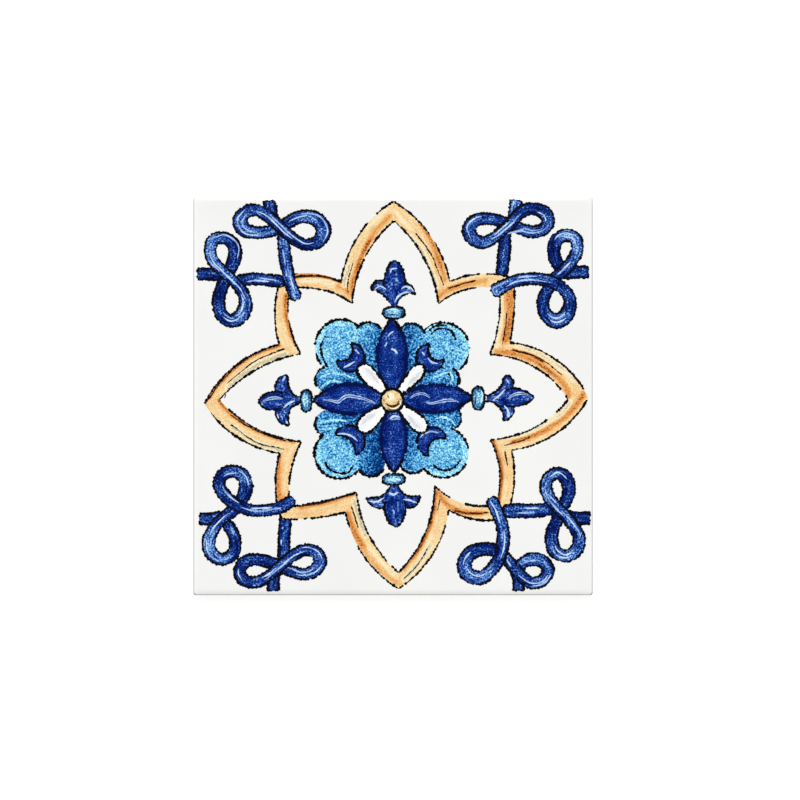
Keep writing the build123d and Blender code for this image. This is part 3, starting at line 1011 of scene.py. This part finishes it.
# Middle, width and height of each.
beads = [
    (0.45, 41.4, 11.7, 6.6), (42.6, -1.4, 6.8, 12.3), (0.3, -41.9, 12.0, 6.3), (-43.4, -2.7, 6.2, 11.6),
]
bead_skins, bead_lines = [], []
for x, y, wide, tall in beads:
    outline = oval(x, y, wide / 2 - outline_inset, tall / 2 - outline_inset, full_turn, squareness)

    def glow(px, py, x=x, y=y, wide=wide, tall=tall):
        """Light in the middle of the bead, dark towards its edge."""
        return 0.68 - 0.58 * ease(np.hypot((px - x) / wide, (py - y) / tall) * 2, 0.25, 1.08)

    bead_skins.append(disc(outline, (x, y), bead_level, glow, dome=0.03))
    bead_lines += inked([np.vstack([outline, outline[:2]])], bead_level)
# Dark and pale strokes on them: course, half width and tone.
bead_dabs = [
    ([(-3.2, 40.1), (0.2, 40.5), (3.8, 39.9)], 0.4, 0.12),
    ([(-3.4, 42.5), (0, 43.3), (3.4, 42.5)], 0.5, 1.0),
    ([(-3.6, -40.4), (0, -39.9), (3.8, -40.3)], 0.45, 0.15),
    ([(-2.8, -42.4), (0.8, -41.9), (4, -42.3)], 0.6, 1.0),
    ([(44.2, 2.6), (44.7, -0.6), (44, -4)], 0.5, 1.0),
    ([(41.1, 2.4), (41.5, -1.6), (41.1, -5)], 0.4, 0.2),
    ([(-44.4, 1), (-44.8, -2.4), (-44.2, -5.6)], 0.45, 0.95),
    ([(-42.2, 0.4), (-42, -2.8), (-42.4, -6)], 0.4, 0.2),
]
bead_skins += [dab(line, width, bead_level + bead_dab_rise, tone) for line, width, tone in bead_dabs]
bead_blue = enamel("bead_blue", [
    (0.0, (0, 26, 72)), (0.24, (28, 86, 138)), (0.48, (84, 146, 190)), (0.72, (138, 202, 240)),
    (1.0, (204, 250, 255)),
], streaks=0.7, blots=0.7, speckle=1.7)
add_piece("beads", bead_skins, bead_blue)
add_piece("bead_outline", pen_strokes(bead_lines, half_width=0.54), pen_black)

# The ribbons in the corners: cobalt strokes of a round brush, two knots a corner. Each knot is a
# bow of two loops that crosses itself, with a stub to the tile's edge and a stem to the star.
# Lighter blue is worked into them wet, and thin lavender lines are drawn along them last.
ribbon_level, over_rise, ribbon_line_rise, ribbon_glint_rise = 0.022, 0.035, 0.02, 0.024
ribbon_half_width, ribbon_columns, blunt_end, stub_end, glint_half_width = 2.85, 15, 2.6, 0.5, 0.4
# The last steps of a ribbon, which get no lavender.
plain_end = 6
# Bows are closed and strands are open. Every point is x, y, whether the stroke lies over (1), low
# (0) or under the band (-1), how light the blue is and, where it isn't one, how wide the stroke is.
bows = {
    "top_left": [
        (-69, 92.9, 1, 0.35), (-63, 90, 1, 0.25), (-58, 85.8, 1, 0.3, 0.95), (-53, 81, 1, 0.25, 0.95),
        (-48, 77.2, 1, 0.25, 0.95), (-42, 75.5, 0, 0.2), (-36.8, 77.8, 0, 0.35, 1.15),
        (-34.8, 82.5, 0, 0.5, 1.3), (-37.3, 87.4, 0, 0.55, 1.2), (-43, 89.6, 0, 0.6, 1.05),
        (-49, 88.6, 0, 0.5), (-54, 85.6, 0, 0.3), (-61, 82.6, 0, 0.55), (-69, 81.6, 0, 0.75),
        (-75, 83.6, 0, 0.6, 1.2), (-76.6, 88, 0, 0.5, 1.2), (-74, 91.6, 0, 0.4, 1.1)],
    "left_top": [
        (-91.5, 73, 1, 0.7), (-90, 67.5, 1, 0.65), (-85.5, 62.5, 1, 0.5, 0.95), (-80, 57.5, 1, 0.45, 0.9),
        (-75.3, 51.5, 1, 0.45), (-73.8, 45.5, 0, 0.6, 1.1), (-76, 40, 0, 0.55, 1.15),
        (-81, 37.4, 0, 0.4, 1.1), (-85.8, 40.5, 0, 0.15, 1.05), (-87.4, 47, 0, 0.08, 1.05),
        (-85.7, 54, 0, 0.12), (-82.3, 61.5, 0, 0.2), (-79.4, 68.5, 0, 0.12, 1.1),
        (-79.4, 74.5, 0, 0.15, 1.1), (-84.3, 78.9, 0, 0.4, 0.95), (-89.8, 77.8, 0, 0.6)],
    "top_right": [
        (45, 76.5, 1, 0.45), (50.5, 79, 1, 0.5, 0.95), (55.5, 83.2, 1, 0.55, 0.9),
        (59.5, 86.6, 1, 0.45, 0.9), (62.8, 90.6, 1, 0.35, 0.95), (67, 93.2, 0, 0.2),
        (72, 93.2, 0, 0.2, 1.05), (76.5, 90.8, 0, 0.35, 1.1), (77.7, 86.8, 0, 0.4, 1.1),
        (75.3, 83.2, 0, 0.45), (70.3, 81.9, 0, 0.4), (65.5, 82.8, 0, 0.35), (60.5, 85, 0, 0.2, 0.95),
        (54.5, 87, 0, 0.15), (48, 88.5, 0, 0.3), (42, 88, 0, 0.4, 1.05), (38.2, 84.5, 0, 0.5, 1.1),
        (39.6, 79, 0, 0.5, 1.1)],
    "right_bottom": [
        (76.5, -46, 1, 0.6), (78.2, -51, 1, 0.55), (82, -55.7, 1, 0.5, 0.95), (86, -60, 1, 0.5, 0.95),
        (90, -65, 1, 0.5, 0.95), (93.2, -71, 1, 0.55), (92.2, -76.8, 0, 0.6, 1.05),
        (86.6, -80.4, 0, 0.65, 1.05), (80.9, -77.6, 0, 0.35, 1.1), (79.4, -72.5, 0, 0.15, 1.1),
        (80, -67.3, 0, 0.12), (82.4, -62, 0, 0.15), (84.6, -56, 0, 0.15), (87, -52, 0, 0.1, 1.05),
        (88.2, -47, 0, 0.12, 1.1), (87, -41.8, 0, 0.2, 1.1), (82.4, -38.8, 0, 0.4),
        (77.9, -41.3, 0, 0.55)],
    "bottom_left": [
        (-70, -93.6, 1, 0.3), (-64, -91.4, 1, 0.35, 0.95), (-58, -86.8, 1, 0.45, 0.9),
        (-53, -82.4, 1, 0.5, 0.9), (-48, -78.9, 1, 0.4, 0.95), (-43, -77.2, 0, 0.3),
        (-38, -79.2, 0, 0.45, 1.1), (-36.6, -83.5, 0, 0.6, 1.15), (-39.5, -87.7, 0, 0.6, 1.1),
        (-45, -89.4, 0, 0.4), (-51, -87.9, 0, 0.3, 0.95), (-58, -84.9, 0, 0.15), (-64, -82.8, 0, 0.1),
        (-70, -82.2, 0, 0.15), (-75.5, -84.5, 0, 0.2, 1.05), (-76.8, -88.5, 0, 0.25, 1.05),
        (-75, -92, 0, 0.3)],
}
strands = {
    "right_top": [
        (49.6, 51.3, 1, 0.75, 1.15), (55, 54.6, 1, 0.55, 1.05), (60, 56.9, 1, 0.45), (65, 58.2, 1, 0.45),
        (70, 58.6, 1, 0.45), (75, 58.2, 1, 0.4), (80, 56.7, 1, 0.4), (85, 53.4, 1, 0.35),
        (88.2, 49.5, 0, 0.4), (88.4, 44.5, 0, 0.35, 1.05), (86.3, 39.6, 0, 0.5, 1.2),
        (81.8, 37.4, 0, 0.55, 1.25), (77, 40, 0, 0.3, 1.1), (75, 45.5, 0, 0.2), (76.6, 51.5, 0, 0.15),
        (80.6, 58, 0.2, 0.15), (85.8, 63, 0.5, 0.45, 0.95), (90.3, 68.5, 0.2, 0.45), (92.3, 74, 0, 0.7),
        (91, 79, 0, 0.9), (86.5, 80.3, 0, 0.9), (82, 78, 0, 0.45, 1.05), (80.4, 72.5, 0, 0.15, 1.05),
        (82, 66.5, -0.2, 0.15), (85, 62.4, -0.4, 0.15)],
    "left_bottom": [
        (-49.6, -51.6, 1, 0.2), (-54.5, -55, 1, 0.25), (-60, -56.9, 1, 0.35, 0.95),
        (-66, -57.6, 1, 0.35, 0.95), (-72, -57.2, 1, 0.35, 0.95), (-77.5, -55.2, 1, 0.3, 0.95),
        (-82.5, -51.5, 1, 0.3), (-86.3, -47, 0, 0.35), (-87, -42.5, 0, 0.3), (-84.4, -39, 0, 0.3),
        (-80, -37.9, 0, 0.35), (-75.2, -40.2, 0, 0.5, 1.05), (-73.6, -45.5, 0, 0.3, 1.15),
        (-75.5, -51.5, 0, 0.15, 1.1), (-79.5, -57, 0, 0.2), (-85, -61.2, 0, 0.35), (-89.8, -66.6, 0, 0.6),
        (-92.2, -73, 0, 0.85, 1.1), (-91, -79, 0, 0.85, 1.1), (-85.8, -82, 0, 0.6),
        (-80.4, -79.6, 0, 0.3, 1.05), (-78.9, -73.6, 0, 0.2, 1.05), (-80.6, -68, 0, 0.35),
        (-83.8, -63.2, -0.3, 0.2)],
    "bottom_right": [
        (48.7, -51, 1, 0.65), (51.5, -57, 1, 0.6), (54.1, -63.3, 1, 0.55), (55.2, -69.4, 1, 0.55, 1.05),
        (54.9, -75.5, 1, 0.5, 1.05), (53, -81.5, 1, 0.45), (49, -87.6, 1, 0.6, 1.05),
        (43, -91.3, 0, 0.7, 1.15), (37.5, -89.4, 0, 0.55, 1.2), (35.7, -84, 0, 0.45, 1.2),
        (38.6, -79, 0, 0.25, 1.15), (44.4, -76.9, 0, 0.12, 1.1), (51, -77.6, 0, 0.08, 1.1),
        (56.5, -81.5, 0, 0.45), (60.5, -86, 0, 0.25), (64.4, -90.6, 0.3, 0.3),
        (69.6, -93.7, 0, 0.45, 1.05), (75.3, -92.3, 0, 0.45, 1.05), (77.7, -87.3, 0, 0.4, 1.05),
        (75, -83, 0, 0.5, 1.05), (70, -81.9, 0, 0.75, 1.05), (65.4, -83.4, 0, 0.7),
        (62.3, -87, -0.2, 0.3)],
    "stem_top_left": [
        (-55, 82, 0, 0.4), (-54.7, 75, 0, 0.55), (-54.2, 70, 0, 0.5), (-53.4, 65, 0, 0.5),
        (-52.4, 60, 1, 0.55), (-50.6, 54, 1, 0.7), (-48, 47.8, 1, 1.0)],
    "stub_top_left": [(-61.9, 97.6, 0, 0.3), (-61.5, 93, 0, 0.25), (-59.5, 87, -0.6, 0.2)],
    "stem_left_top": [
        (-79, 57, 0, 0.2), (-75, 57.6, 0, 0.25), (-69, 58.4, 0, 0.35), (-63, 57.8, 0, 0.3),
        (-54, 57, 0, 0.15)],
    "stub_left_top": [(-98, 60.8, 0, 0.12), (-92, 60.8, 0, 0.12), (-84, 60, -0.6, 0.2)],
    "stem_top_right": [
        (56, 83, 0, 0.2), (55.9, 75, 0, 0.15), (55.5, 70, 0, 0.2), (54.9, 65, 0, 0.12),
        (54.2, 59.5, -1, 0.1)],
    "stub_top_right": [(61.5, 98, 0, 1.0), (61.2, 94.5, 0, 0.7), (60.2, 88, -0.6, 0.4)],
    "stub_right_top": [(98, 61.8, 0, 0.15), (92, 61.8, 0, 0.15), (85, 61, -0.6, 0.15)],
    "stem_right_bottom": [
        (55, -58, 0, 0.15, 1.1), (62, -57.6, 0, 0.3, 1.15), (68, -57.8, 0, 0.4, 1.15),
        (74, -57.4, 0, 0.3, 1.1), (82, -56, 0, 0.15)],
    "stub_right_bottom": [(98.6, -61.3, 0, 0.1), (93, -61.3, 0, 0.1), (85, -59.5, -0.6, 0.1)],
    "stem_bottom_left": [
        (-53.8, -59, -1, 0.2), (-54, -65, 0, 0.2), (-54.5, -70, 0, 0.15), (-54.6, -77, 0, 0.2),
        (-54.6, -85, 0, 0.2)],
    "stub_bottom_left": [(-59.8, -97.8, 0, 0.15), (-59.8, -92, 0, 0.15), (-58, -86, -0.6, 0.2)],
    "stub_bottom_right": [(62.9, -97.8, 0, 0.2), (62.8, -92, 0, 0.15), (60.5, -86, -0.6, 0.2)],
    "stub_left_bottom": [(-97, -61.8, 0, 0.15), (-91, -61.8, 0, 0.15), (-85, -60, -0.6, 0.2)],
}
# Lavender lines: the ribbon, the points between which the line runs, and where across it lies.
glints = {
    "top_left": [
        (0, 3.6, 0.15), (1, 5.5, -0.25), (6, 9.5, 0.5), (9, 10.6, 0.1), (12.5, 15.5, -0.45),
        (13, 14.8, 0.1)],
    "left_top": [
        (0, 4.5, 0.1), (0.3, 2, 0.5), (4, 6.5, 0.35), (5.5, 7.8, -0.1), (6.6, 8.2, 0.45),
        (12, 14.6, 0.55)],
    "top_right": [
        (0.2, 3.8, 0.1), (1, 3, -0.4), (8, 11.2, -0.2), (9, 11, 0.35), (14.5, 16.8, 0.35), (6, 8, 0.5)],
    "right_bottom": [
        (0, 3, 0.3), (2.5, 5, -0.2), (6.2, 8.6, 0.3), (6.6, 7.8, -0.3), (14.9, 16.6, 0.05),
        (0.5, 1.8, -0.4)],
    "bottom_left": [
        (0.4, 4.6, 0.2), (0.2, 2, -0.35), (4.5, 6.8, -0.4), (7, 9.6, -0.3), (8, 10.4, 0.35),
        (14.5, 15.8, 0.3)],
    "right_top": [
        (0.1, 1.6, -0.5), (1.2, 5.5, 0.25), (2.5, 4.5, -0.35), (9.5, 12.2, 0.3), (10, 11.6, -0.2),
        (15.3, 16.8, -0.1), (18.2, 20.2, -0.3), (19.2, 21.2, 0.3)],
    "left_bottom": [
        (1.2, 4.8, -0.05), (2, 4, 0.4), (5, 7.4, 0.45), (8.6, 10.2, 0.3), (10.4, 12, -0.35),
        (14.5, 16.6, 0.1), (16.8, 18.8, 0.3), (21.6, 22.8, 0.1)],
    "bottom_right": [
        (0.1, 2.2, 0.2), (2.6, 5, -0.3), (6.2, 8.8, 0.25), (8.8, 10.2, -0.2), (12.8, 13.9, 0.15),
        (14.6, 17.6, 0.1), (16, 17.8, 0.5), (19.6, 21.3, -0.2)],
    "stem_top_left": [(1.2, 2.6, 0.2), (3, 5.6, -0.2)],
    "stem_left_top": [(1.2, 3.2, 0.35), (2.2, 3.6, -0.1)],
    "stem_right_bottom": [(1, 2.6, 0.3), (1.4, 2.9, -0.35)],
    "stem_bottom_left": [(1.1, 1.5, 0.3), (2.3, 2.8, 0.5)],
    "stub_top_right": [(0.1, 0.9, 0.4)],
}
# Two ticks of the pen beside the upper stubs.
ticks = ([(-58.2, 95.5), (-58.4, 92), (-58.3, 89)], [(64.5, 97.2), (64.6, 96), (64.5, 94.8)])


def round_end(distance, length):
    """The height of a quarter of an ellipse of this length, at a distance from its end."""
    return np.sqrt(1 - (1 - np.clip(distance / length, 0.03, 1)) ** 2)


ribbon_skins, glint_skins, ribbon_lines = [], [], inked(map(smooth_path, ticks), 0)
for name, points in (bows | strands).items():
    looped = name in bows
    points = [(*point, 1)[:5] + (index,) for index, point in enumerate(points)]
    x, y, over, light, width, number = smooth_path(points, 0.5, looped).T
    spine = np.column_stack([x, y])
    along, left = distances(spine), left_of(spine, looped)
    half = ribbon_half_width * width * (1 + wander(along, 9, 0.04))
    if not looped:
        half = half * round_end(along, stub_end if name.startswith("stub") else blunt_end)
        half = half * round_end(along[-1] - along, blunt_end)
    level = ribbon_level + over_rise * over
    edges = both_sides(spine, half[:, None] * left)
    across = crowded(ribbon_columns)
    drift = 0.3 * wander(along, 12, 1)[:, None]
    tone = 0.1 + 0.48 * light[:, None] - 0.2 * np.abs(across) ** 4
    tone = tone + 0.1 * np.exp(-(((across + drift) / 0.35) ** 2)) + 0.05 * wander(along, 7, 1)[:, None]
    ribbon_skins.append(stroke(*edges, level, tone, 0.018, ribbon_columns, looped))
    for line in inked(edges, level, ribbon_line_rise):
        ribbon_lines.append(np.vstack([line, line[:2]]) if looped else line)
    for first, last, place in glints.get(name, []):
        part = np.flatnonzero((number >= first) & (number <= last))
        part = part[part < len(number) - plain_end]
        run = along[part] - along[part[0]]
        weave = place + 0.12 * wander(run, 6, 1)
        middle = spine[part] - (weave * half[part])[:, None] * left[part]
        reach = (glint_half_width * pointed(run, 1.5, 0.4))[:, None] * left[part]
        tone = 0.5 + 0.3 * wander(run, 4, 1)
        glint_level = level[part] + ribbon_glint_rise
        glint_skins.append(stroke(*both_sides(middle, reach), glint_level, tone, dome=0.006, columns=5))
ribbon_blue = enamel("ribbon_blue", [
    (0.0, (0, 8, 66)), (0.2, (4, 32, 108)), (0.34, (22, 56, 138)), (0.46, (50, 95, 178)),
    (0.58, (90, 138, 212)), (0.74, (154, 198, 242)), (1.0, (214, 244, 255)),
], streaks=1.3, speckle=1.4)
add_piece("ribbons", ribbon_skins, ribbon_blue)
add_piece("ribbon_outline", pen_strokes(ribbon_lines, half_width=0.5), pen_black)
add_piece("ribbon_glints", glint_skins, lavender)

# The stage: a seamless floor of white paper. The lens and the gloss see it nearly white whatever
# light falls on it, and to all other light it is a plain matt surface.
floor_side = 6.0
bpy.ops.mesh.primitive_plane_add(size=floor_side)
floor = bpy.context.active_object
floor.name = "floor"
floor_white = bpy.data.materials.new("floor_white")
floor_white.use_nodes = True
start = Wire(floor_white.node_tree)
camera_ray, glossy_ray, clear_ray = (start.node("ShaderNodeLightPath", output=kind) for kind in (
    "Is Camera Ray", "Is Glossy Ray", "Is Transmission Ray"))
shown = camera_ray.math("MAXIMUM", glossy_ray).math("MAXIMUM", clear_ray)
diffuse = start.node("ShaderNodeBsdfDiffuse", None, {"Color": (0.9, 0.9, 0.9, 1)})
faint = start.node("ShaderNodeBsdfDiffuse", None, {"Color": (0.34, 0.34, 0.34, 1)})
shine = start.node("ShaderNodeEmission", None, {"Color": (1, 1, 1, 1), "Strength": 0.8})
lit = start.node("ShaderNodeAddShader", None, {0: faint, 1: shine})
mixed = start.node("ShaderNodeMixShader", None, {0: shown, 1: diffuse, 2: lit})
connect(mixed, floor_white.node_tree.nodes["Material Output"].inputs["Surface"])
floor.data.materials.append(floor_white)

# The light: pale surroundings, a little stronger beyond the tile's top edge and dark straight
# overhead, where a pale sky would wash out the gloss, and a broad soft window beyond that edge.
world = bpy.data.worlds.new("studio")
bpy.context.scene.world = world
world.use_nodes = True
sky = Wire(world.node_tree)
_, north, up = parts_of(sky.node("ShaderNodeTexCoord", output="Generated"))
overhead = up.ease(0.9, 0.975)
shade = (north * 0.1 + 0.64) * (1 - overhead * 0.97)
camera_ray = sky.node("ShaderNodeLightPath", output="Is Camera Ray")
surroundings = sky.node("ShaderNodeBackground", None, {"Color": (1, 1, 1, 1), "Strength": shade})
backdrop = sky.node("ShaderNodeBackground", None, {"Color": (1, 1, 1, 1), "Strength": 1.0})
mixed = sky.node("ShaderNodeMixShader", None, {0: camera_ray, 1: surroundings, 2: backdrop})
connect(mixed, world.node_tree.nodes["World Output"].inputs["Surface"])
window_spread, window_strength, window_aim = 40, 2.1, Vector((0.08, -1.0, -1.0))
window = bpy.data.lights.new("window", "SUN")
window.angle, window.energy = np.radians(window_spread), window_strength
window_object = bpy.data.objects.new("window", window)
bpy.context.scene.collection.objects.link(window_object)
window_object.rotation_euler = window_aim.to_track_quat("-Z", "Y").to_euler()

# The camera: it looks straight down on the face, from so far that the picture's 800 pixels span
# 400.5 mm of it, and stands a little to the right of and below the middle of the tile.
picture_span, lens, sensor = 400.5, 100.0, 36.0
offset_x, offset_y = 3.5, -2.25
camera = bpy.data.objects.new("camera", bpy.data.cameras.new("camera"))
bpy.context.scene.collection.objects.link(camera)
camera.data.lens, camera.data.sensor_width = lens, sensor
camera.location = Vector((offset_x, offset_y, face_z + picture_span * lens / sensor)) * metre
camera.data.clip_start, camera.data.clip_end = 0.05, 20.0
bpy.context.scene.camera = camera
bpy.context.scene.view_settings.view_transform = "Standard"
